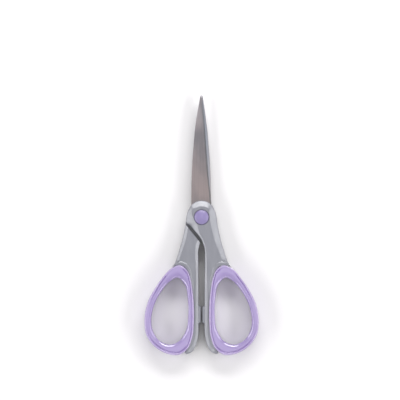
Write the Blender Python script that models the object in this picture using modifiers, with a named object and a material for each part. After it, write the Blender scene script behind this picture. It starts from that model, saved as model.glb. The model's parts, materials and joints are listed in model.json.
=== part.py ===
"""Small household scissors: two pinned halves, each a steel blade moulded into a hard plastic
handle with a soft ring grip over the handle's skeleton.

Frame: metres, +Z up, the scissors lie closed and flat, tips towards +Y.
The origin is under the middle of their outline, and z = 0 is the surface they lie on.
Plan shapes are drawn in millimetres about the pivot, for the upper half, whose handle is on the
+X side. The lower half is the same shape turned half a turn about the Y axis at the mid-plane.
"""

from math import pi, radians

import bmesh
import bpy

MM = 0.001

# Driving dimensions, millimetres
BOW_THICK = 8.4                      # full thickness of the handles, flat faces at z = 0 and here
MID = BOW_THICK / 2                  # the plane between the two halves
FIT = 0.3                            # clearance between pieces that touch on the real object
BLADE_THICK = 1.5
LENGTH = 135.0                       # tips to the ends of the bows
TIP_Y = 63.1                         # tips from the pivot
PIVOT_Y = LENGTH / 2 - TIP_Y         # the pivot from the middle of the outline
TANG_END = (10.2, -23.0)
BLADE_IN = MID + FIT / 2             # inner face of the upper blade
BLADE_OUT = BLADE_IN + BLADE_THICK   # its outer face
FLOOR = BLADE_OUT + FIT              # plastic over the steel starts here

RIVET_R = 1.8
HOLE_R = RIVET_R + 0.2
RIVET_HEAD_R = 2.9
RIVET_HEAD_Z = (6.75, 7.35)
TAIL_R = 2.7
TAIL_Z = (0.75, 1.5)
SPRING_R = (2.1, 3.0)
SPRING_Z = (6.1, 6.5)
WASHER_R = (2.05, 3.5)
WASHER_Z = (1.75, 2.25)
WASHER_CONE = 0.12                   # how far the spring washer's inner edge stands up
CAP_R = 3.9
CAP_WALL = 0.6
CAP_Z = (6.2, 8.75)
CAP_CEILING = 7.65
CAP_CHAMFER = (0.9, 0.6)             # across and down
CAP_RECESS_R = CAP_R + FIT + 0.05
TAIL_RECESS_R = 3.9

GRIP_ROUND = 1.1                     # rounding along the grip's edges
HANDLE_ROUND = 1.5                   # sloped facet along the handle's edges
CORE_Z = (2.0, BOW_THICK - 2.0)      # height of the skeleton ring inside the grip
NUB_Y = (-54.6, -46.2)               # closed-position stop
NUB_Z = (1.6, BOW_THICK - 1.6)
NUB_REACH = 0.3                      # how near the stop comes to the centre plane
NUB_FLARE = 0.9                      # how much wider the stop is at its root, at each end
NUB_ROOT = 1.2                       # how far its root runs into the handle
INNER_X = 1.6                        # centre-facing side of each handle
EDGE_SLOPE_W = 0.8                   # width of the ground cutting bevel
EDGE_LAND = 0.25                     # steel left under it at the cutting edge

# Outlines of the upper half, millimetres. A third value "c" marks a sharp corner.
BLADE = [
    (-0.55, TIP_Y, "c"), (-1.6, 57.5), (-3.1, 48.2), (-4.25, 35.7), (-5.05, 23.2), (-5.3, 10.0),
    (-5.4, 0.0), (-4.6, -5.2, "c"), (-1.0, -6.6, "c"), (3.0, -14.0, "c"),
    (TANG_END[0] - 2.0, TANG_END[1] + 0.6, "c"), (TANG_END[0] + 0.8, TANG_END[1] + 0.2, "c"),
    (7.6, -14.0, "c"), (5.7, -5.2, "c"), (5.4, 2.0, "c"), (5.0, 7.9, "c"),
    (3.4, 24.5), (2.1, 41.9), (0.2, TIP_Y - 0.4, "c"),
]
EDGE_LINE = ((5.15, 6.5), (0.4, 62.9))
HANDLE = [
    (-5.6, 6.0, "c"), (0.0, 8.6), (5.6, 6.0, "c"), (7.0, 2.9), (7.85, -0.3), (8.25, -3.6),
    (10.25, -12.8), (12.9, -21.3), (13.6, -23.3, "c"), (15.2, -25.2, "c"), (15.4, -30.0, "c"),
    (9.0, -36.0, "c"), (7.0, -50.0, "c"), (9.5, -64.0, "c"), (10.5, -69.6, "c"),
    (8.0, -71.0, "c"), (5.0, -69.8), (3.0, -66.5), (INNER_X + 0.1, -61.0), (INNER_X, -50.0),
    (INNER_X + 0.2, -30.0), (INNER_X + 0.2, -17.0), (0.85, -13.9), (-1.2, -9.95), (-3.3, -7.5),
    (-7.4, -3.3, "c"), (-8.2, -2.4, "c"), (-7.9, -0.3), (-7.1, 2.9),
]
GRIP_OUTER = [
    (11.4, -24.8), (7.6, -27.2), (5.9, -31.2), (4.8, -37.8), (4.05, -46.5), (4.05, -54.5),
    (4.85, -62.1), (7.2, -68.4), (11.6, -71.6), (17.0, -71.2), (22.1, -68.8), (26.0, -65.2),
    (28.7, -60.6), (29.6, -54.5), (29.1, -48.5), (27.3, -42.6), (24.35, -37.2), (20.2, -31.2),
    (15.6, -26.4),
]
GRIP_HOLE = [
    (12.4, -31.3), (8.9, -34.5), (7.2, -42.0), (6.9, -51.0), (8.1, -59.0), (12.2, -65.0),
    (17.0, -66.5), (22.1, -64.2), (25.6, -58.6), (26.3, -52.5), (24.8, -45.5), (20.5, -37.8),
    (16.6, -33.4),
]
CORE_OUTER = [
    (12.3, -27.0), (5.2, -33.0), (3.4, -49.0), (4.8, -62.0), (8.6, -68.0), (12.3, -70.4),
    (16.9, -70.0), (21.5, -67.8), (25.1, -64.4), (27.6, -60.1), (28.5, -54.5), (28.0, -48.9),
    (26.2, -43.2), (23.4, -38.0), (19.3, -32.0), (15.0, -27.9),
]
CORE_INNER = [
    (12.7, -30.2), (8.2, -33.8), (6.2, -41.9), (5.9, -51.1), (7.2, -59.4), (11.6, -65.9),
    (17.1, -67.5), (22.8, -65.0), (26.5, -59.0), (27.3, -52.4), (25.8, -45.0), (21.4, -37.2),
    (17.1, -32.4),
]
# What the upper handle gives up below the mid-plane, so that the lower head can turn there
SWING = [
    (20.0, 12.0, "c"), (-20.0, 12.0, "c"), (-20.0, -16.2, "c"), (1.0, -16.2, "c"),
    (1.2, -13.0, "c"), (8.1, -4.4, "c"), (20.0, -3.4, "c"),
]

STEEL = ("blade_steel", (0.33, 0.31, 0.31), 0.28, 1.0)
ZINC = ("zinc_steel", (0.55, 0.55, 0.56), 0.35, 1.0)
GREY = ("grey_plastic", (0.34, 0.35, 0.39), 0.4, 0.0)
LILAC = ("lilac_rubber", (0.42, 0.32, 0.66), 0.45, 0.0)


def clear_scene():
    for old in list(bpy.data.objects):
        bpy.data.objects.remove(old, do_unlink=True)


def new_collection(name):
    collection = bpy.data.collections.new(name)
    bpy.context.scene.collection.children.link(collection)
    return collection


def material(name, colour, roughness, metallic):
    made = bpy.data.materials.get(name) or bpy.data.materials.new(name)
    made.use_nodes = True
    shader = made.node_tree.nodes["Principled BSDF"]
    shader.inputs["Base Color"].default_value = (*colour, 1.0)
    shader.inputs["Roughness"].default_value = roughness
    shader.inputs["Metallic"].default_value = metallic
    return made


def flat_outline(name, outlines, z_low, z_high, rounding=0.0, grow=0.0, steps=5):
    """A plate with a smooth outline: a filled 2D curve, made a mesh. Further outlines are holes."""
    curve = bpy.data.curves.new(name, "CURVE")
    curve.dimensions = "2D"
    curve.fill_mode = "BOTH"
    curve.resolution_u = steps
    curve.extrude = ((z_high - z_low) / 2 - rounding) * MM
    curve.bevel_depth = rounding * MM
    curve.bevel_resolution = 1
    curve.offset = (grow - rounding) * MM
    for points in outlines:
        spline = curve.splines.new("BEZIER")
        spline.bezier_points.add(len(points) - 1)
        spline.use_cyclic_u = True
        for knot, point in zip(spline.bezier_points, points):
            knot.co = (point[0] * MM, point[1] * MM, 0.0)
            kind = "VECTOR" if len(point) == 3 else "AUTO"
            knot.handle_left_type = knot.handle_right_type = kind
    holder = bpy.data.objects.new(name, curve)
    bpy.context.scene.collection.objects.link(holder)
    bpy.context.view_layer.update()
    seen = holder.evaluated_get(bpy.context.evaluated_depsgraph_get())
    mesh = bpy.data.meshes.new_from_object(seen)
    bpy.data.objects.remove(holder, do_unlink=True)
    bpy.data.curves.remove(curve)
    shape = bmesh.new()
    shape.from_mesh(mesh)
    bmesh.ops.translate(shape, verts=shape.verts, vec=(0, 0, (z_low + z_high) / 2 * MM))
    bmesh.ops.remove_doubles(shape, verts=shape.verts, dist=0.002 * MM)
    bmesh.ops.recalc_face_normals(shape, faces=shape.faces)
    shape.to_mesh(mesh)
    shape.free()
    mesh.name = name
    return bpy.data.objects.new(name, mesh)


def turned(name, profile, steps=48):
    """A solid of revolution about the pivot axis. The profile runs down its outer side."""
    mesh = bpy.data.meshes.new(name)
    points = [(r * MM, 0.0, z * MM) for r, z in profile]
    closed = profile[0][0] > 0 and profile[-1][0] > 0
    edges = [(i, i + 1) for i in range(len(points) - 1)]
    if closed:
        edges.append((len(points) - 1, 0))
    mesh.from_pydata(points, edges, [])
    made = bpy.data.objects.new(name, mesh)
    screw = made.modifiers.new("Turn", "SCREW")
    screw.axis = "Z"
    screw.steps = screw.render_steps = steps
    screw.use_merge_vertices = True
    screw.merge_threshold = 0.00001
    return made


def cylinder(name, radius, z_low, z_high, steps=48):
    mesh = bpy.data.meshes.new(name)
    shape = bmesh.new()
    bmesh.ops.create_cone(
        shape, cap_ends=True, segments=steps,
        radius1=radius * MM, radius2=radius * MM, depth=(z_high - z_low) * MM,
    )
    bmesh.ops.translate(shape, verts=shape.verts, vec=(0, 0, (z_low + z_high) / 2 * MM))
    shape.to_mesh(mesh)
    shape.free()
    return bpy.data.objects.new(name, mesh)


def as_part(made, half, finish):
    parts.objects.link(made)
    made.parent = half
    made.data.materials.clear()
    made.data.materials.append(material(*finish))
    made.data.shade_smooth()
    made.data.set_sharp_from_angle(angle=radians(35))
    return made


def as_cutter(made, half):
    cutters.objects.link(made)
    made.parent = half
    made.hide_render = True
    made.display_type = "WIRE"
    return made


def combine(target, operand, operation):
    step = target.modifiers.new(operand.name, "BOOLEAN")
    step.operation = operation
    step.object = operand
    step.solver = "EXACT"


def edge_bevel(name):
    """A wedge that grinds the outer face down to the cutting edge."""
    (x0, y0), (x1, y1) = EDGE_LINE
    length = ((x1 - x0) ** 2 + (y1 - y0) ** 2) ** 0.5
    along = ((x1 - x0) / length, (y1 - y0) / length)
    across = (along[1], -along[0])
    low, high = BLADE_IN + EDGE_LAND, BLADE_OUT
    past = 1.5                       # how far the wedge runs past the steel
    run = [
        (-EDGE_SLOPE_W, high), (-EDGE_SLOPE_W, high + past), (past, high + past), (past, low), (0.0, low),
    ]
    shape = bmesh.new()
    ends = []
    for reach in (0.0, length + past):
        foot = (x0 + along[0] * reach, y0 + along[1] * reach)
        ends.append([
            shape.verts.new(((foot[0] + across[0] * s) * MM, (foot[1] + across[1] * s) * MM, z * MM))
            for s, z in run
        ])
    near, far = ends
    shape.faces.new(near)
    shape.faces.new(list(reversed(far)))
    for i in range(len(run)):
        j = (i + 1) % len(run)
        shape.faces.new((near[i], far[i], far[j], near[j]))
    bmesh.ops.recalc_face_normals(shape, faces=shape.faces)
    mesh = bpy.data.meshes.new(name)
    shape.to_mesh(mesh)
    shape.free()
    return bpy.data.objects.new(name, mesh)


def blade(side, half):
    made = as_part(flat_outline(f"{side}_blade", [BLADE], BLADE_IN, BLADE_OUT), half, STEEL)
    hole = as_cutter(cylinder(f"{side}_blade_hole", HOLE_R, BLADE_IN - 1, BLADE_OUT + 1), half)
    combine(made, hole, "DIFFERENCE")
    combine(made, as_cutter(edge_bevel(f"{side}_edge_wedge"), half), "DIFFERENCE")
    return made


def handle(side, half, recess_r):
    made = flat_outline(f"{side}_handle", [HANDLE], 0.0, BOW_THICK, rounding=HANDLE_ROUND)
    as_part(made, half, GREY)
    nub = [
        (INNER_X + NUB_ROOT, NUB_Y[1] + NUB_FLARE, "c"), (NUB_REACH, NUB_Y[1], "c"),
        (NUB_REACH, NUB_Y[0], "c"), (INNER_X + NUB_ROOT, NUB_Y[0] - NUB_FLARE, "c"),
    ]
    cuts = (
        (flat_outline(f"{side}_swing", [SWING], -2.0, BLADE_IN), "DIFFERENCE"),
        (flat_outline(f"{side}_grip_seat", [GRIP_OUTER], -2.0, BOW_THICK + 2.0, grow=FIT), "DIFFERENCE"),
        (flat_outline(f"{side}_core", [CORE_OUTER, CORE_INNER], *CORE_Z), "UNION"),
        (flat_outline(f"{side}_nub", [nub], *NUB_Z), "UNION"),
        (flat_outline(f"{side}_blade_seat", [BLADE], BLADE_IN - FIT, FLOOR, grow=FIT), "DIFFERENCE"),
        (cylinder(f"{side}_recess", recess_r, BLADE_IN, BOW_THICK + 1.0), "DIFFERENCE"),
    )
    for operand, operation in cuts:
        combine(made, as_cutter(operand, half), operation)
    return made


def grip(side, half):
    made = flat_outline(
        f"{side}_grip", [GRIP_OUTER, GRIP_HOLE], 0.0, BOW_THICK, rounding=GRIP_ROUND
    )
    as_part(made, half, LILAC)
    low, high = CORE_Z
    seat = flat_outline(f"{side}_core_seat", [CORE_OUTER, CORE_INNER], low - FIT, high + FIT, grow=FIT)
    combine(made, as_cutter(seat, half), "DIFFERENCE")
    return made


def rivet(half):
    low, high = TAIL_Z[0], RIVET_HEAD_Z[1]
    profile = [
        (0.0, high), (RIVET_HEAD_R - 0.3, high), (RIVET_HEAD_R, high - 0.2),
        (RIVET_HEAD_R, RIVET_HEAD_Z[0]), (RIVET_R, RIVET_HEAD_Z[0]), (RIVET_R, TAIL_Z[1]),
        (TAIL_R, TAIL_Z[1]), (TAIL_R, TAIL_Z[1] - 0.25), (TAIL_R - 0.8, low + 0.1), (0.0, low),
    ]
    return as_part(turned("pivot_rivet", profile), half, ZINC)


def cap(half):
    low, high = CAP_Z
    inside = CAP_R - CAP_WALL
    across, down = CAP_CHAMFER
    profile = [
        (0.0, high), (CAP_R - across, high), (CAP_R, high - down), (CAP_R, low),
        (inside, low), (inside, CAP_CEILING), (0.0, CAP_CEILING),
    ]
    return as_part(turned("pivot_cap", profile), half, LILAC)


def washer(name, radii, heights, cone, half):
    """A washer whose inner edge stands up by cone."""
    inner, outer = radii
    low, high = heights
    profile = [(inner, high), (outer, high - cone), (outer, low), (inner, low + cone)]
    return as_part(turned(name, profile), half, ZINC)


clear_scene()
parts = new_collection("scissors")
cutters = new_collection("cutters")

front = bpy.data.objects.new("front_half", None)
rear = bpy.data.objects.new("rear_half", None)
front.location = (0.0, PIVOT_Y * MM, 0.0)
rear.rotation_euler = (0.0, pi, 0.0)
rear.location = (0.0, PIVOT_Y * MM, BOW_THICK * MM)
for empty in (front, rear):
    parts.objects.link(empty)

for side, half, recess_r in (("front", front, CAP_RECESS_R), ("rear", rear, TAIL_RECESS_R)):
    blade(side, half)
    handle(side, half, recess_r)
    grip(side, half)

rivet(front)
cap(front)
washer("spring_washer", SPRING_R, SPRING_Z, WASHER_CONE, front)
rear_stack = [BOW_THICK - z for z in reversed(WASHER_Z)]
washer("rear_washer", WASHER_R, rear_stack, 0.0, rear)
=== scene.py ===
"""Looks of the small household scissors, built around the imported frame.

Plan shapes are in millimetres about the pivot axis, with the tips towards +Y, for the upper (front)
half, whose handle is on the +X side. The lower (rear) half is the same shape turned half a turn
about the Y axis.
"""

import json
from math import cos, degrees, pi, radians, sin

import bmesh
import bpy
import numpy as np
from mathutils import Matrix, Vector


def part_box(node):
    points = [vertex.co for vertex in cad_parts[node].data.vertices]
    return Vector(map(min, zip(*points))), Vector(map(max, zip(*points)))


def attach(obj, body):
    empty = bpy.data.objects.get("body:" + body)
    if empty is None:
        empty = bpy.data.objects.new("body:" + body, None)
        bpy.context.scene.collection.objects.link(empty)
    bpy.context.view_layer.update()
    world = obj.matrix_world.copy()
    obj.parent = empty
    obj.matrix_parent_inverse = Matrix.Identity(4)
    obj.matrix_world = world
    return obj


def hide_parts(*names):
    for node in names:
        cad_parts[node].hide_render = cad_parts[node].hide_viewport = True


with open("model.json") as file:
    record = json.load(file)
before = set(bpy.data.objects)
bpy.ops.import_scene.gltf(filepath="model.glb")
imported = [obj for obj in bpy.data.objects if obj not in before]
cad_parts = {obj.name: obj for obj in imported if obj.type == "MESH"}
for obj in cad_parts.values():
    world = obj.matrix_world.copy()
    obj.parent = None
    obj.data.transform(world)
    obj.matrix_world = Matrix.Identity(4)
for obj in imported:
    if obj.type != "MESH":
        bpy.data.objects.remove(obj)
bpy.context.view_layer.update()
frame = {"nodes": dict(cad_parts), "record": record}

MM = 0.001
PIVOT = Vector(frame["record"]["behaviour"]["joints"][0]["pos_m"])
BOW_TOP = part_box("front_grip")[1][2] / MM        # the upper face of the bows
BLADE_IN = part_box("front_blade")[0][2] / MM      # the upper blade's inner face
BLADE_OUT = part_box("front_blade")[1][2] / MM     # and its outer face
TIP_Y = (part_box("front_blade")[1][1] - PIVOT.y) / MM
CAP_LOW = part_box("pivot_cap")[0][2] / MM
CAP_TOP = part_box("pivot_cap")[1][2] / MM
CAP_R = (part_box("pivot_cap")[1][0] - PIVOT.x) / MM
ROUND_STEPS = 96                # sides of every round piece and round cut
MERGE = 0.001                   # points closer than this become one

# Handle: knots are (outline x, y, upper flat's edge x, y, lower flat's edge x, y, kind). Kind is 1
# where the edge is a raised collar round the grip, 0 where it is a plain slope and negative, down
# to -1, where it is softly rounded. A last "c" marks a corner.
HANDLE = [
    (-5.6, 6.0, -4.6, 4.0, -3.6, 3.4, 0, "c"), (-3.1, 7.95, -2.5, 4.7, -2.0, 5.0, 0),
    (0.0, 8.6, 0.0, 5.3, 0.0, 5.4, 0), (3.1, 7.95, 2.6, 4.8, 2.0, 5.0, 0),
    (5.6, 6.0, 3.9, 3.5, 4.2, 3.6, 0, "c"), (7.0, 2.9, 3.8, 1.2, 5.2, 1.8, 0),
    (7.85, -0.3, 4.0, -1.4, 5.9, -0.8, 0), (8.25, -3.6, 4.45, -4.3, 6.3, -3.6, 0),
    (9.15, -8.1, 5.5, -8.5, 7.1, -8.2, 0), (10.25, -12.8, 6.75, -12.9, 8.1, -12.8, 0),
    (11.7, -17.5, 8.5, -17.2, 9.7, -17.2, 0), (12.9, -21.3, 9.7, -20.4, 10.8, -20.6, 0),
    (13.5, -22.9, 10.0, -21.6, 10.9, -21.9, 0.15, "c"),
    (14.0, -24.0, 10.8, -22.2, 11.0, -22.2, 0.7),
    (15.2, -25.6, 11.4, -22.6, 11.4, -22.6, 1, "c"), (13.3, -25.15, 10.9, -22.5, 10.9, -22.5, 1),
    (11.4, -24.95, 9.7, -22.5, 9.7, -22.5, 1), (9.3, -25.6, 7.6, -23.5, 7.6, -23.5, 1),
    (7.5, -27.25, 5.8, -25.7, 5.8, -25.7, 1), (6.4, -29.4, 4.9, -28.4, 4.9, -28.4, 1),
    (6.0, -31.2, 4.4, -30.7, 4.4, -30.7, 1), (4.9, -37.8, 3.8, -37.7, 3.8, -37.7, 0.5),
    (4.0, -46.5, 3.82, -46.5, 3.82, -46.5, 0), (4.0, -54.5, 3.82, -54.5, 3.82, -54.5, 0),
    (4.85, -62.0, 4.65, -62.1, 4.65, -62.1, 0), (7.2, -68.0, 7.0, -68.2, 7.0, -68.2, 0),
    (8.6, -70.3, 8.3, -70.1, 8.3, -70.1, 0, "c"), (7.9, -70.95, 7.3, -69.7, 7.3, -69.7, 0, "c"),
    (5.1, -69.85, 6.5, -67.9, 6.5, -67.9, 0), (3.0, -66.5, 5.0, -65.6, 5.0, -65.6, -0.3),
    (1.75, -61.5, 4.1, -61.2, 4.1, -61.2, -0.5), (1.55, -54.5, 3.75, -54.5, 3.75, -54.5, -0.5),
    (1.55, -46.5, 3.75, -46.5, 3.75, -46.5, -0.5), (1.55, -38.0, 3.6, -38.0, 3.6, -38.0, -0.45),
    (1.6, -30.0, 3.2, -30.0, 3.2, -30.0, -0.2), (1.65, -22.0, 3.0, -22.0, 3.5, -22.0, 0),
    (1.6, -16.8, 2.5, -16.6, 3.5, -16.9, 0), (0.85, -13.9, 1.7, -13.6, 3.2, -13.6, 0),
    (0.1, -12.0, 0.9, -11.2, 2.2, -11.6, 0), (-1.2, -9.95, -0.1, -9.3, 1.0, -9.4, 0),
    (-3.3, -7.5, -1.2, -6.6, -0.9, -5.9, 0), (-5.4, -5.2, -1.9, -3.6, -2.2, -4.0, 0),
    (-7.3, -3.4, -3.2, -1.6, -3.8, -2.6, 0, "c"), (-8.1, -2.3, -3.6, -1.0, -4.8, -1.4, 0, "c"),
    (-7.9, -0.3, -4.1, -0.1, -5.2, 0.0, 0), (-7.1, 2.9, -4.9, 2.4, -4.8, 1.8, 0),
]
HANDLE_SPACING = 0.45           # between samples along the outline
FLAT_DROP = 0.32                # the flats lie this far below the grips' upper face
SLOPE_DROP = 2.4                # and the slopes fall at most this far below the flats
FLAT_MARGIN = 0.06              # a narrow loop that keeps a flat's shading flat up to its edge
# Edges as (share of the edge's width, height over the flat)
COLLAR_EDGE = (
    (0.0, -0.4), (0.02, -0.15), (0.06, 0.02), (0.15, 0.2), (0.3, 0.33), (0.5, 0.35), (0.67, 0.22),
    (0.82, -0.02),
)
ROUNDED_EDGE = (
    (0.0, -0.95), (0.02, -0.72), (0.07, -0.58), (0.15, -0.47), (0.27, -0.38), (0.42, -0.28),
    (0.58, -0.19), (0.76, -0.09),
)

# What the upper handle gives up below the mid-plane, so that the lower head can turn there
SWING = [
    (20.0, 12.0), (-20.0, 12.0), (-20.0, -16.2), (0.2, -16.2), (0.5, -14.2), (0.97, -12.82),
    (7.87, -4.22), (9.4, -4.0), (20.0, -3.4),
]
SWING_CHAMFER = 0.32            # on the edge that this cut leaves
SWING_CHAMFER_Z = 0.3           # where the chamfer starts
CHAMFER_SLOPE = 0.8             # its height over its width
CUT_OVERLAP = 2.0               # how far cutters reach past the surfaces that they cut
BLADE_SEAT_GAP = 0.25           # over the blade's inner face, to where the swing cut reaches
CAP_GAP = 0.14                  # round the cap in the front head's recess
RECESS_SINK = 0.1               # the recess goes this far below the blade's outer face

# Closing stop: the nub's face from the mid-line, its root in the handle, chamfer and crown
STOP_REACH, STOP_ROOT, STOP_CHAMFER, STOP_CROWN = 0.42, 2.3, 0.3, 0.24
STOP_MARGIN = 1.3               # from the bows' faces to the nub's ends
STOP_ENDS = (-45.5, -46.4, -54.5, -55.4)         # y of root, face, face, root
STOP_CHAMFER_RUN = 0.35         # the chamfer's height
STOP_CROWN_RUN = 2.0            # from the nub's ends to the full crown
STOP_EASE = 0.6                 # how much the nub's ends draw in where its face does

GRIP_OUTER = [
    (11.4, -24.8), (7.6, -27.2), (5.9, -31.2), (4.7, -37.8), (3.9, -46.5), (3.9, -54.5),
    (4.75, -62.0), (7.2, -68.1), (11.6, -71.2), (17.0, -70.9), (22.1, -68.6), (26.0, -65.1),
    (28.7, -60.6), (29.6, -54.5), (29.1, -48.5), (27.3, -42.6), (24.35, -37.2), (20.2, -31.2),
    (15.6, -26.4),
]
GRIP_HOLE = [
    (12.4, -31.3), (8.9, -34.5), (7.2, -42.0), (6.9, -51.0), (8.1, -58.9), (12.2, -64.6),
    (17.0, -66.05), (22.0, -63.8), (25.35, -58.6), (26.0, -52.5), (24.5, -45.5), (20.35, -37.8),
    (16.6, -33.4),
]
GRIP_HEART = (16.2, -49.5)
GRIP_SPACING, HOLE_SPACING = 0.75, 0.5           # between samples along the two outlines
# The grip's section from the outline inwards, as (distance in, depth below the top)
GRIP_RIM = (
    (0.0, 0.5), (0.04, 0.34), (0.13, 0.2), (0.26, 0.1), (0.42, 0.03), (0.6, 0.0), (0.78, 0.03),
)
GRIP_DIP = (
    (0.9, 0.08), (1.0, 0.2), (1.12, 0.32), (1.3, 0.37), (1.48, 0.3), (1.62, 0.16), (1.74, 0.08),
)
RIM_REACH = 0.9                 # the rim's painted highlight ends here, from the outline
DIP_REACH = 1.7                 # and the groove's painted shade here
GROOVE_REACH = 1.85             # from the outline to the inner side of the groove
GROOVE_SINK = 0.05              # the face inside the groove lies this much lower
# The slanted edge of the hole: (share of the flat, depth), then (share of the slant, depth, depth
# that grows with the slant's width)
SLANT_FLAT = ((0.2, 0.0), (0.4, 0.01), (0.6, 0.03), (0.8, 0.07), (0.94, 0.12))
SLANT_FALL = (
    (0.05, 0.18, 0.0), (0.2, 0.26, 0.0), (0.4, 0.26, 0.1), (0.6, 0.26, 0.21), (0.76, 0.27, 0.31),
    (0.88, 0.32, 0.4), (0.95, 0.42, 0.46), (0.99, 0.62, 0.5),
)
# How deep the groove is, by bearing from the heart in degrees
GROOVE = (
    (-180, 1), (-120, 1), (-60, 1), (-42, 0.5), (-25, 0.12), (22, 0.12), (46, 1), (83, 1.1),
    (86, 0.2), (104, 0.2), (109, 1), (180, 1),
)
# How far the hole's edge is a slanting facet instead of a round, by the same bearing
FACET = ((-180, 0), (-150, 0), (-124, 1), (-56, 1), (-36, 0), (180, 0))
DEEP_ENOUGH = 0.5               # the groove gets painted shade where it is at least this deep
# How wide the painted shade along the hole's edge is, by the same bearing
EDGE_SHADE = (
    (-180, 0), (-58, 0), (-40, 0.45), (-20, 0.8), (5, 0.95), (35, 0.85), (65, 0.5), (98, 0),
    (180, 0),
)
WIDE_ENOUGH = 0.1               # the painted shade is put where it is at least this wide
BAND_MARGIN = 0.05              # and takes in the row of faces that starts this near to it

# Blade stations: y, spine x, cutting edge x
BLADE = [
    (TIP_Y, -0.42, 0.1), (TIP_Y - 0.4, -0.58, 0.28), (60.2, -1.1, 0.6), (57.5, -1.6, 0.84),
    (48.2, -3.1, 1.62), (35.7, -4.25, 2.5), (23.2, -5.05, 3.45), (10.0, -5.3, 4.8),
    (4.0, -5.35, 5.3), (0.0, -5.4, 5.4),
]
BLADE_STEP = 1.2                # between stations along the blade
ACROSS_STEPS = 9                # points across each face of it
REAR_NARROWER = 0.45            # the lower blade's spine shows this much less beside the upper one
TIP_RUN = 12.0                  # the tips' last stretch, where that difference fades out
TIP_THINNING = 0.35             # the blade is this much thinner at the tip
SPINE_NICK = 0.16               # chamfer on the spine's corners
BEVEL = 0.75                    # the ground strip along the cutting edge
EDGE_LAND = 0.04                # thickness left at the cutting edge
EDGE_BREAK = 0.02               # how far the inner face stops short of it
HOLLOW = 0.1                    # depth of the hollow inner face
HOLLOW_END = 0.94               # where the hollow ends, as a share of the width
BLADE_FALL, FALL_POWER = 0.3, 1.6                # how the outer face falls towards the edge
PIN_R = 2.0                     # the hole round the rivet

CAP_DOME = 0.8                  # the dome's height
CAP_EDGE = 0.5                  # the rolled edge's width
CAP_WALL = 0.6
CAP_HOLLOW = 1.4                # height of the hollow under the cap
CAP_CENTRE = 0.001              # radius that stands for the axis
DOME_STEPS = 12
# The rolled edge, as (radius past the dome, drop below it)
CAP_ROLL = ((0.12, 0.06), (0.4, 0.3), (0.52, 0.46))
CAP_ROLL_DROP = 0.62            # where it meets the side


# ---------------------------------------------------------------- curves and meshes

def hermite(t, start, end, leave, arrive):
    """A point on the cubic span from start to end, with the tangents leave and arrive."""
    return (
        (2 * t**3 - 3 * t**2 + 1) * start + (t**3 - 2 * t**2 + t) * leave
        + (3 * t**2 - 2 * t**3) * end + (t**3 - t**2) * arrive
    )


def smooth_loop(knots, spacing):
    """Samples a closed curve through the knots, of any dimension, by cubic Hermite spans."""
    corners = [k[-1] == "c" for k in knots]
    points = np.array([[v for v in k if v != "c"] for k in knots], float)
    count = len(points)
    after = np.roll(points, -1, axis=0) - points
    before = np.roll(after, 1, axis=0)
    chord = np.linalg.norm(after[:, :2], axis=1)
    chord_before = np.roll(chord, 1)
    slope = (
        after / chord[:, None] * chord_before[:, None]
        + before / chord_before[:, None] * chord[:, None]
    ) / (chord + chord_before)[:, None]
    found = []
    for i in range(count):
        j = (i + 1) % count
        leave = after[i] if corners[i] else slope[i] * chord[i]
        arrive = after[i] if corners[j] else slope[j] * chord[i]
        steps = max(2, int(round(chord[i] / spacing)))
        for t in np.arange(steps) / steps:
            found.append(hermite(t, points[i], points[j], leave, arrive))
    return np.array(found)


def smooth_through(ys, values):
    """A smooth open curve through the given values, as a function of y."""
    secants = np.diff(values) / np.diff(ys)
    slopes = np.empty(len(ys))
    slopes[1:-1] = (secants[1:] + secants[:-1]) / 2
    slopes[0], slopes[-1] = secants[0], secants[-1]

    def at(y):
        i = int(np.clip(np.searchsorted(ys, y) - 1, 0, len(ys) - 2))
        gap = ys[i + 1] - ys[i]
        t = (y - ys[i]) / gap
        return hermite(t, values[i], values[i + 1], gap * slopes[i], gap * slopes[i + 1])
    return at


def at_bearing(table, bearing):
    """Reads a table of (degrees, value) at a bearing in radians."""
    return np.interp(degrees(bearing), *zip(*table))


def circle(radius):
    """Plan points of a circle about the pivot."""
    turns = [2 * pi * i / ROUND_STEPS for i in range(ROUND_STEPS)]
    return [(radius * cos(turn), radius * sin(turn)) for turn in turns]


def in_place(points, side):
    """Plan millimetres about the pivot to world metres, for the front or the rear half."""
    placed = np.array(points, float)
    if side == "rear":
        placed[:, 0] *= -1
        placed[:, 2] = BOW_TOP - placed[:, 2]
    placed *= MM
    placed[:, 0] += PIVOT.x
    placed[:, 1] += PIVOT.y
    return placed


def shade(mesh, crease):
    mesh.shade_smooth()
    mesh.set_sharp_from_angle(angle=radians(crease))


def make(name, points, faces, side="front", crease=38):
    """An object of one half, smooth up to the crease angle in degrees."""
    mesh = bpy.data.meshes.new(name)
    mesh.from_pydata(in_place(points, side).tolist(), [], faces)
    shape = bmesh.new()
    shape.from_mesh(mesh)
    bmesh.ops.remove_doubles(shape, verts=shape.verts, dist=MERGE * MM)
    bmesh.ops.recalc_face_normals(shape, faces=shape.faces)
    shape.to_mesh(mesh)
    shape.free()
    shade(mesh, crease)
    made = bpy.data.objects.new(name, mesh)
    bpy.context.scene.collection.objects.link(made)
    return made


def lofted(rings, wrap=False):
    """Points and faces through rings of equal length, with end faces or wrapped to the first."""
    width = len(rings[0])
    count = len(rings)
    points = [tuple(p) for ring in rings for p in ring]
    faces = []
    for r in range(count if wrap else count - 1):
        a, b = r * width, (r + 1) % count * width
        for i in range(width):
            j = (i + 1) % width
            faces.append((a + i, a + j, b + j, b + i))
    if not wrap:
        faces.append(tuple(range(width)))
        faces.append(tuple((count - 1) * width + i for i in reversed(range(width))))
    return points, faces


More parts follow.
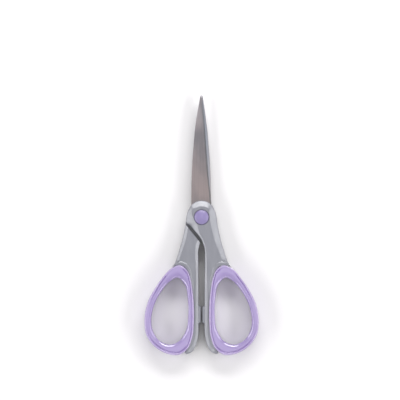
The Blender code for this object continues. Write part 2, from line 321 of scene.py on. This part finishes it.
def boolean(target, cutter, operation="DIFFERENCE"):
    """Applies one Boolean and removes the cutter."""
    step = target.modifiers.new("cut", "BOOLEAN")
    step.operation = operation
    step.solver = "EXACT"
    step.object = cutter
    bpy.context.view_layer.update()
    seen = target.evaluated_get(bpy.context.evaluated_depsgraph_get())
    cut = bpy.data.meshes.new_from_object(seen)
    target.modifiers.clear()
    old = target.data
    target.data = cut
    bpy.data.meshes.remove(old)
    bpy.data.objects.remove(cutter, do_unlink=True)


def prism(name, outline, z_low, z_high, side, flare=0.0, flare_z=0.0):
    """A plate cutter. flare widens its lower end, which chamfers the edge that it leaves."""
    flat = np.array(outline, float)
    ahead = np.roll(flat, -1, axis=0) - flat
    ahead /= np.linalg.norm(ahead, axis=1)[:, None]
    behind = np.roll(ahead, 1, axis=0)
    outward = np.stack([ahead[:, 1] + behind[:, 1], -ahead[:, 0] - behind[:, 0]], axis=1)
    outward /= np.maximum(np.linalg.norm(outward, axis=1), 1e-9)[:, None]
    area = np.sum(flat[:, 0] * np.roll(flat[:, 1], -1) - np.roll(flat[:, 0], -1) * flat[:, 1])
    wide = flat + outward * flare * (1 if area > 0 else -1)
    levels = [(flat, z_high)]
    if flare:
        levels += [(flat, flare_z + flare * CHAMFER_SLOPE), (wide, flare_z), (wide, z_low)]
    else:
        levels += [(flat, z_low)]
    rings = [[(x, y, z) for x, y in level] for level, z in levels]
    return make(name, *lofted(rings), side)


# ---------------------------------------------------------------- handles

def edge_profile(width, kind):
    """Distances in from the outline, and heights over the flat, from the side wall to the flat."""
    drop = min(SLOPE_DROP, 0.5 * width)
    soft = min(0.2, 0.18 * width)       # rounds the corner between side wall and slope
    hold = min(0.2, 0.15 * width)       # keeps the slope's shading flat near its two ends
    far = width - 1.2 * hold
    incline = drop / far

    def slope(s):
        return -drop + incline * s
    plain = [
        (0.0, slope(0) - soft), (0.1 * soft, slope(0) - 0.55 * soft),
        (0.4 * soft, slope(0) - 0.1 * soft), (soft, slope(soft)),
        (soft + hold, slope(soft + hold)), (0.5 * width, slope(0.5 * width)),
        (far - hold, slope(far - hold)), (far, -0.2 * incline * hold),
    ]
    other = [(share * width, z) for share, z in (COLLAR_EDGE if kind > 0 else ROUNDED_EDGE)]
    share = abs(kind)
    edge = [
        ((1 - share) * p[0] + share * q[0], (1 - share) * p[1] + share * q[1])
        for p, q in zip(plain, other)
    ]
    return edge + [(width, 0.0), (width + FLAT_MARGIN, 0.0)]


def handle_body(name, side):
    """Side wall with sloped facets on both faces, closed by the two flats."""
    flat_z = BOW_TOP - FLAT_DROP
    samples = smooth_loop(HANDLE, HANDLE_SPACING)
    outline, upper, lower = samples[:, 0:2], samples[:, 2:4], samples[:, 4:6]
    kinds = np.clip(samples[:, 6], -1, 1)
    rings = []
    for inner, is_upper in ((upper, True), (lower, False)):
        columns = []
        for point, inside, kind in zip(outline, inner, kinds):
            inward = inside - point
            width = max(np.linalg.norm(inward), 0.05)
            inward = inward / width
            columns.append([
                (*(point + inward * s), flat_z + z if is_upper else BOW_TOP - flat_z - z)
                for s, z in edge_profile(width, kind)
            ])
        levels = [[column[k] for column in columns] for k in range(len(columns[0]))]
        rings += reversed(levels) if is_upper else levels
    return make(name, *lofted(rings), side)


def closing_stop(name, side):
    """The trapezoid nub that meets its twin when the scissors close."""
    low, high = STOP_MARGIN, BOW_TOP - STOP_MARGIN
    root_top, face_top, face_end, root_end = STOP_ENDS
    rings = []
    for inset, z in (
        (STOP_CHAMFER, low), (0.0, low + STOP_CHAMFER_RUN), (-STOP_CROWN, low + STOP_CROWN_RUN),
        (-STOP_CROWN, high - STOP_CROWN_RUN), (0.0, high - STOP_CHAMFER_RUN), (STOP_CHAMFER, high),
    ):
        x, ease = STOP_REACH + inset, STOP_EASE * inset
        rings.append([
            (STOP_ROOT, root_top - ease, z), (x, face_top - ease, z),
            (x, face_end + ease, z), (STOP_ROOT, root_end + ease, z),
        ])
    return make(name, *lofted(rings), side, crease=20)


def build_handle(side):
    made = handle_body(f"{side}_handle_moulding", side)
    swing = prism(
        f"{side}_swing_cut", SWING, -CUT_OVERLAP, BLADE_IN + BLADE_SEAT_GAP, side,
        flare=SWING_CHAMFER, flare_z=SWING_CHAMFER_Z,
    )
    boolean(made, swing)
    boolean(made, closing_stop(f"{side}_nub", side), "UNION")
    recess = circle(CAP_R + CAP_GAP if side == "front" else CAP_R)
    recess_low, recess_high = BLADE_OUT - RECESS_SINK, BOW_TOP + CUT_OVERLAP
    boolean(made, prism(f"{side}_recess_cut", recess, recess_low, recess_high, side))
    shade(made.data, crease=32)
    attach(made, f"{side}_half")
    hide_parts(f"{side}_handle")
    made.data.materials.clear()
    made.data.materials.append(grey_plastic)


# ---------------------------------------------------------------- grips

def grip_section(width, groove, facet):
    """Half of the grip's section: distance in from the outer outline, and depth below the top."""
    section = [*GRIP_RIM] + [(s, depth * groove) for s, depth in GRIP_DIP]
    sunk = GROOVE_SINK * groove
    body = width - GROOVE_REACH
    roll = min(1.35, 0.3 + 0.45 * body)         # how deep the round goes
    slant = min(1.5, 0.55 * body)               # how wide the facet is
    flat = body - slant
    slanted = [(0.0, 0.0)]
    slanted += [(flat * share, depth) for share, depth in SLANT_FLAT]
    slanted += [(flat + slant * share, depth + grow * slant) for share, depth, grow in SLANT_FALL]
    slanted += [(body, roll)]
    for k, (s, depth) in enumerate(slanted):
        turn = pi / 2 * k / (len(slanted) - 1)
        across = (1 - facet) * body * sin(turn) + facet * s
        down = (1 - facet) * roll * (1 - cos(turn)) + facet * depth
        section.append((GROOVE_REACH + across, sunk + down))
    return section


def build_grip(side):
    outer = smooth_loop(GRIP_OUTER, GRIP_SPACING)
    hole = smooth_loop(GRIP_HOLE, HOLE_SPACING)
    heart = np.array(GRIP_HEART)
    around = np.arctan2(*(hole - heart).T[::-1])
    order = np.argsort(around)
    around, hole = around[order], hole[order]
    around = np.concatenate([around - 2 * pi, around, around + 2 * pi])
    hole = np.concatenate([hole] * 3)
    rings, depths, edge_shades, reaches = [], [], [], []
    for point in outer:
        bearing = np.arctan2(point[1] - heart[1], point[0] - heart[0])
        inside = np.array([np.interp(bearing, around, hole[:, axis]) for axis in (0, 1)])
        inward = inside - point
        width = np.linalg.norm(inward)
        inward = inward / width
        groove = at_bearing(GROOVE, bearing)
        half_section = grip_section(width, groove, at_bearing(FACET, bearing))
        ring = [(*(point + inward * s), BOW_TOP - depth) for s, depth in half_section]
        ring += [(*(point + inward * s), depth) for s, depth in reversed(half_section)]
        rings.append(ring)
        depths.append(groove)
        edge_shades.append(at_bearing(EDGE_SHADE, bearing))
        reaches.append([s for s, _ in half_section])
    made = make(f"{side}_grip_soft", *lofted(rings, wrap=True), side, crease=60)
    for rubber in (lilac_rubber, rim_highlight_rubber, shade_rubber):
        made.data.materials.append(rubber)
    across = len(rings[0])
    for polygon in made.data.polygons:
        i, k = divmod(polygon.index, across)
        k = min(k, across - 2 - k)      # the same row on the upper or the lower face
        if k < 0:                       # the outer wall
            continue
        reach, whole = reaches[i][k], reaches[i][-1]
        in_groove_shade = reach < DIP_REACH and depths[i] > DEEP_ENOUGH
        in_edge_shade = edge_shades[i] > WIDE_ENOUGH and reach > whole - edge_shades[i] - BAND_MARGIN
        # Index 1 takes the lighter rubber, a painted highlight along the rim
        if reach < RIM_REACH:
            polygon.material_index = 1
        # Index 2 takes the darker rubber, painted shade in the groove and along the hole's edge
        elif in_groove_shade or in_edge_shade:
            polygon.material_index = 2
    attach(made, f"{side}_half")
    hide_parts(f"{side}_grip")


# ---------------------------------------------------------------- blades

def blade_section(y, spine, edge):
    """Section points across the blade, from the spine's inner corner round to the cutting edge."""
    width = edge - spine
    top = BLADE_OUT - TIP_THINNING * max(0.0, y / TIP_Y) ** 2
    bottom = BLADE_IN
    nick = min(SPINE_NICK, 0.2 * width)
    bevel = min(BEVEL, 0.27 * width)
    hollow = HOLLOW * min(1.0, width / 4)
    outer = [(spine, bottom + nick), (spine, top - nick), (spine + nick, top)]
    for u in np.linspace(nick / width, (width - bevel) / width, ACROSS_STEPS)[1:]:
        outer.append((spine + u * width, top - BLADE_FALL * u**FALL_POWER * (top - bottom)))
    outer.append((edge, bottom + EDGE_LAND))
    inner = [(edge - EDGE_BREAK, bottom)]
    for u in np.linspace(HOLLOW_END, nick / width, ACROSS_STEPS):
        rise = hollow * sin(pi * min(1.0, u / HOLLOW_END))
        inner.append((spine + u * width, bottom + rise))
    return [(x, y, z) for x, z in outer + inner]


def build_blade(side):
    stations = []
    for (y0, _, _), (y1, _, _) in zip(BLADE, BLADE[1:]):
        steps = max(1, int(round((y0 - y1) / BLADE_STEP)))
        stations += [y0 + (y1 - y0) * k / steps for k in range(steps)]
    stations.append(BLADE[-1][0])
    ys, spines, edges = np.array(BLADE)[::-1].T
    spine, edge = smooth_through(ys, spines), smooth_through(ys, edges)
    narrower = REAR_NARROWER if side == "rear" else 0.0
    rings = [
        blade_section(y, spine(y) + narrower * min(1.0, (TIP_Y - y) / TIP_RUN), edge(y))
        for y in stations
    ]
    made = make(f"{side}_blade_ground", *lofted(rings), side)
    for steel in (blade_steel, bevel_shade_steel, inner_steel):
        made.data.materials.append(steel)
    boolean(made, prism(f"{side}_pin_cut", circle(PIN_R), BLADE_IN - 1, BLADE_OUT + 1, side))
    shade(made.data, crease=14)
    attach(made, f"{side}_half")
    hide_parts(f"{side}_blade")
    outward = 1 if side == "front" else -1
    for polygon in made.data.polygons:
        up, across = polygon.normal.z * outward, polygon.normal.x * outward
        on_inner_face = up < -0.9
        on_bevel = 0.3 < up < 0.93 and across > 0.3
        if on_inner_face:
            polygon.material_index = 2
        # The bevel takes the darker steel, painted shade along the cutting edge
        elif on_bevel:
            polygon.material_index = 1


# ---------------------------------------------------------------- pivot cap

def build_cap():
    """A solid of revolution from (radius, z) points, top to bottom."""
    rim = CAP_R - CAP_EDGE
    low = CAP_TOP - CAP_DOME
    ceiling = CAP_LOW + CAP_HOLLOW
    profile = [(CAP_CENTRE, CAP_TOP)]
    for k in range(1, DOME_STEPS + 1):
        r = rim * k / DOME_STEPS
        profile.append((r, CAP_TOP - CAP_DOME * (r / rim) ** 2))
    profile += [(rim + past, low - drop) for past, drop in CAP_ROLL]
    profile += [
        (CAP_R, low - CAP_ROLL_DROP), (CAP_R, CAP_LOW), (CAP_R - CAP_WALL, CAP_LOW),
        (CAP_R - CAP_WALL, ceiling), (CAP_CENTRE, ceiling),
    ]
    rings = [[(x, y, z) for x, y in circle(r)] for r, z in profile]
    made = make("pivot_cap_button", *lofted(rings), crease=30)
    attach(made, "front_half")
    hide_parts("pivot_cap")
    made.data.materials.append(lilac_plastic)


# ---------------------------------------------------------------- materials

def new_material(name):
    """A material with its node tree and its Principled shader."""
    made = bpy.data.materials.new(name)
    made.use_nodes = True
    return made, made.node_tree, made.node_tree.nodes["Principled BSDF"]


def fill(tree, target, inputs):
    """Sets a node's inputs to fixed values, or links them to other nodes' outputs."""
    for name, value in inputs.items():
        if isinstance(value, bpy.types.NodeSocket):
            tree.links.new(value, target.inputs[name])
        else:
            target.inputs[name].default_value = value
    return target


def place(tree, scale=(1, 1, 1)):
    """Object coordinates in metres, scaled per axis."""
    where = tree.nodes.new("ShaderNodeTexCoord").outputs["Object"]
    mapping = tree.nodes.new("ShaderNodeMapping")
    return fill(tree, mapping, {"Scale": scale, "Vector": where}).outputs["Vector"]


def noise(tree, vector, scale, detail=3.0, roughness=0.5):
    made = tree.nodes.new("ShaderNodeTexNoise")
    fill(tree, made, {"Vector": vector, "Scale": scale, "Detail": detail, "Roughness": roughness})
    return made.outputs["Fac"]


def ramp(tree, value, stops):
    made = tree.nodes.new("ShaderNodeValToRGB")
    while len(made.color_ramp.elements) < len(stops):
        made.color_ramp.elements.new(0.5)
    for element, (at, colour) in zip(made.color_ramp.elements, stops):
        element.position = at
        element.color = (*colour, 1)
    return fill(tree, made, {"Fac": value}).outputs["Color"]


def spread(tree, value, low, high):
    """Maps 0.3..0.7 of a noise to low..high."""
    made = tree.nodes.new("ShaderNodeMapRange")
    ends = {"From Min": 0.3, "From Max": 0.7, "To Min": low, "To Max": high}
    return fill(tree, made, {"Value": value, **ends}).outputs["Result"]


def times(tree, colour, by, factor=1.0):
    """Multiplies a colour by another one, linked or fixed."""
    made = tree.nodes.new("ShaderNodeMix")
    made.data_type = "RGBA"
    made.blend_type = "MULTIPLY"
    return fill(tree, made, {"Factor": factor, "A": colour, "B": by}).outputs["Result"]


def bump(tree, heights, distance=0.00002):
    """The normal for several (height, strength) layers."""
    normal = {}
    for height, strength in heights:
        made = tree.nodes.new("ShaderNodeBump")
        fill(tree, made, {"Strength": strength, "Distance": distance, "Height": height, **normal})
        normal = {"Normal": made.outputs["Normal"]}
    return normal["Normal"]


def make_grey_plastic():
    made, tree, shader = new_material("grey_plastic_satin")
    vector = place(tree)
    cloud = noise(tree, place(tree, (1.0, 0.3, 1.0)), 260.0)
    fleck = noise(tree, vector, 5200.0, 2.0, 0.7)
    colour = ramp(tree, cloud, [(0.3, (0.176, 0.179, 0.208)), (0.7, (0.206, 0.209, 0.238))])
    sparkle = ramp(
        tree, fleck, [(0.35, (0.94, 0.94, 0.94)), (0.62, (1, 1, 1)), (0.75, (1.12, 1.12, 1.14))],
    )
    fill(tree, shader, {
        "Base Color": times(tree, colour, sparkle),
        "Roughness": spread(tree, noise(tree, vector, 700.0, 4.0), 0.30, 0.38),
        "Metallic": 0.1,
        "Specular IOR Level": 0.95,
        "Normal": bump(tree, [(noise(tree, vector, 2600.0), 0.35)]),
    })
    return made


def make_lilac(name, light, deep, roughness, grain, coat=1.0):
    made, tree, shader = new_material(name)
    vector = place(tree)
    uneven = noise(tree, vector, 900.0, 4.0)
    fill(tree, shader, {
        "Base Color": ramp(tree, noise(tree, vector, 70.0), [(0.3, deep), (0.7, light)]),
        "Roughness": spread(tree, uneven, roughness - 0.04, roughness + 0.05),
        "Specular IOR Level": 0.5,
        "Subsurface Weight": 0.12,
        "Subsurface Radius": (1.0, 0.7, 1.2),
        "Subsurface Scale": 0.0012,
        "Coat Weight": coat,
        "Coat Roughness": 0.07,
        "Normal": bump(tree, [(noise(tree, vector, 3200.0), grain)]),
    })
    return made


def make_blade_steel(name, light, deep, roughness, grain, tip_sheen=1.0):
    """Ground steel. It cools from the root on, and painted light makes it lighter towards the tip.
    """
    made, tree, shader = new_material(name)
    along = place(tree, (1.0, 0.03, 0.01))
    lines = noise(tree, along, 5000.0, 2.0)
    broad = noise(tree, along, 1500.0)
    cloud = noise(tree, place(tree, (1.0, 0.45, 1.0)), 150.0, 2.0)
    middle = tuple((a + b) / 2 for a, b in zip(deep, light))
    tone = ramp(tree, cloud, [(0.36, deep), (0.5, middle), (0.64, light)])
    streaks = ramp(tree, broad, [(0.3, (0.93, 0.93, 0.93)), (0.7, (1.05, 1.05, 1.05))])
    colour = times(tree, tone, streaks)
    axes = fill(tree, tree.nodes.new("ShaderNodeSeparateXYZ"), {"Vector": place(tree)})
    cool, tip_sheen_tint = (0.88, 0.94, 0.98, 1), (tip_sheen, tip_sheen, tip_sheen, 1)
    # The second step is painted light, which lightens the steel towards the tip
    for start, end, tint in ((0.018, 0.045, cool), (0.048, 0.060, tip_sheen_tint)):
        run = {"Value": axes.outputs["Y"], "From Min": start, "From Max": end}
        reach = fill(tree, tree.nodes.new("ShaderNodeMapRange"), run)
        colour = times(tree, colour, tint, reach.outputs["Result"])
    fill(tree, shader, {
        "Base Color": colour,
        "Roughness": spread(tree, cloud, roughness - 0.03, roughness + 0.04),
        "Metallic": 1.0,
        "Normal": bump(tree, [(lines, grain), (broad, grain / 2)], 0.00001),
    })
    return made


def make_pivot_steel():
    made, tree, shader = new_material("pivot_steel_plated")
    vector = place(tree)
    cloud = noise(tree, vector, 800.0)
    fill(tree, shader, {
        "Base Color": ramp(tree, cloud, [(0.3, (0.5, 0.5, 0.51)), (0.7, (0.62, 0.62, 0.63))]),
        "Roughness": spread(tree, noise(tree, vector, 2500.0), 0.26, 0.42),
        "Metallic": 1.0,
        "Normal": bump(tree, [(noise(tree, vector, 3000.0), 0.15)]),
    })
    return made


# ---------------------------------------------------------------- floor, light, camera

def build_stage():
    """A pale floor, just clear of the lowest faces."""
    reach, gap = 3.0, 0.0002
    mesh = bpy.data.meshes.new("floor")
    shape = bmesh.new()
    bmesh.ops.create_grid(shape, x_segments=1, y_segments=1, size=reach)
    shape.to_mesh(mesh)
    shape.free()
    floor = bpy.data.objects.new("floor", mesh)
    floor.location.z = -gap
    bpy.context.scene.collection.objects.link(floor)
    made, tree, shader = new_material("floor_paper")
    fill(tree, shader, {
        "Base Color": (0.70, 0.69, 0.70, 1), "Roughness": 0.9, "Specular IOR Level": 0.1,
    })
    mesh.materials.append(made)


def build_lights():
    world = bpy.data.worlds.new("studio")
    bpy.context.scene.world = world
    world.use_nodes = True
    back = world.node_tree.nodes["Background"]
    fill(world.node_tree, back, {"Color": (0.95, 0.95, 0.96, 1), "Strength": 0.26})
    aim = Vector((0.0, -0.01, 0.0))
    for name, place_at, size, energy in (
        ("key", (0.1, 0.72, 0.52), (0.9, 0.26), 7.7),
        ("side_left", (-0.75, -0.12, 0.47), (1.2, 0.36), 6.4),
        ("side_right", (0.75, -0.12, 0.47), (1.2, 0.36), 6.2),
        ("low_front", (0.0, -0.75, 0.38), (0.9, 0.24), 2.2),
        ("top", (0.0, 0.0, 1.6), (0.9, 0.9), 2.2),
    ):
        light = bpy.data.lights.new(name, "AREA")
        light.shape = "RECTANGLE"
        light.size, light.size_y = size
        light.energy = energy
        lamp = bpy.data.objects.new(name, light)
        lamp.location = place_at
        lamp.rotation_euler = (aim - Vector(place_at)).to_track_quat("-Z", "Y").to_euler()
        bpy.context.scene.collection.objects.link(lamp)


def build_camera():
    """Straight above, as the scissors are seen face-on, with the tips up."""
    view_width, distance, sensor = 0.2084, 1.1, 36.0
    right, up = -0.0008, 0.0089         # from the pivot to the middle of the view
    camera = bpy.data.cameras.new("camera")
    camera.sensor_width = sensor
    camera.lens = sensor * distance / view_width
    camera.clip_start = 0.01
    lens = bpy.data.objects.new("camera", camera)
    lens.location = (PIVOT.x + right, PIVOT.y + up, distance)
    bpy.context.scene.collection.objects.link(lens)
    bpy.context.scene.camera = lens
    bpy.context.scene.view_settings.view_transform = "Standard"


grey_plastic = make_grey_plastic()
pivot_steel = make_pivot_steel()
# Lilacs: light tone, deep tone, roughness, grain and coat
lilac_rubber = make_lilac(
    "lilac_rubber_soft", (0.298, 0.238, 0.436), (0.278, 0.220, 0.416), 0.22, 0.04,
)
# A lighter copy of the rubber, which paints a highlight along the grip's rim
rim_highlight_rubber = make_lilac(
    "lilac_rubber_rim_highlight", (0.350, 0.287, 0.468), (0.332, 0.270, 0.450), 0.26, 0.04,
)
# A darker copy of the rubber, which paints shade in the groove and along the hole's edge
shade_rubber = make_lilac(
    "lilac_rubber_painted_shade", (0.230, 0.163, 0.372), (0.215, 0.151, 0.357), 0.30, 0.04,
)
lilac_plastic = make_lilac(
    "lilac_plastic_gloss", (0.228, 0.190, 0.362), (0.208, 0.172, 0.342), 0.38, 0.06, 0.3,
)
# Steels: light tone, deep tone, roughness, grain and how much painted light lightens the tip
blade_steel = make_blade_steel(
    "blade_steel_ground", (0.385, 0.325, 0.325), (0.295, 0.262, 0.270), 0.34, 0.05, 1.45,
)
# A darker copy of the steel, which paints the shade along the cutting edge
bevel_shade_steel = make_blade_steel(
    "blade_steel_bevel_shade", (0.20, 0.195, 0.20), (0.16, 0.155, 0.16), 0.30, 0.04, 1.45,
)
inner_steel = make_blade_steel(
    "blade_steel_inner", (0.50, 0.49, 0.53), (0.43, 0.42, 0.46), 0.34, 0.02,
)

for half_name in ("rear", "front"):
    build_blade(half_name)
    build_handle(half_name)
    build_grip(half_name)
build_cap()
for carried in ("pivot_rivet", "spring_washer", "rear_washer"):
    frame["nodes"][carried].data.materials.clear()
    frame["nodes"][carried].data.materials.append(pivot_steel)

build_stage()
build_lights()
build_camera()
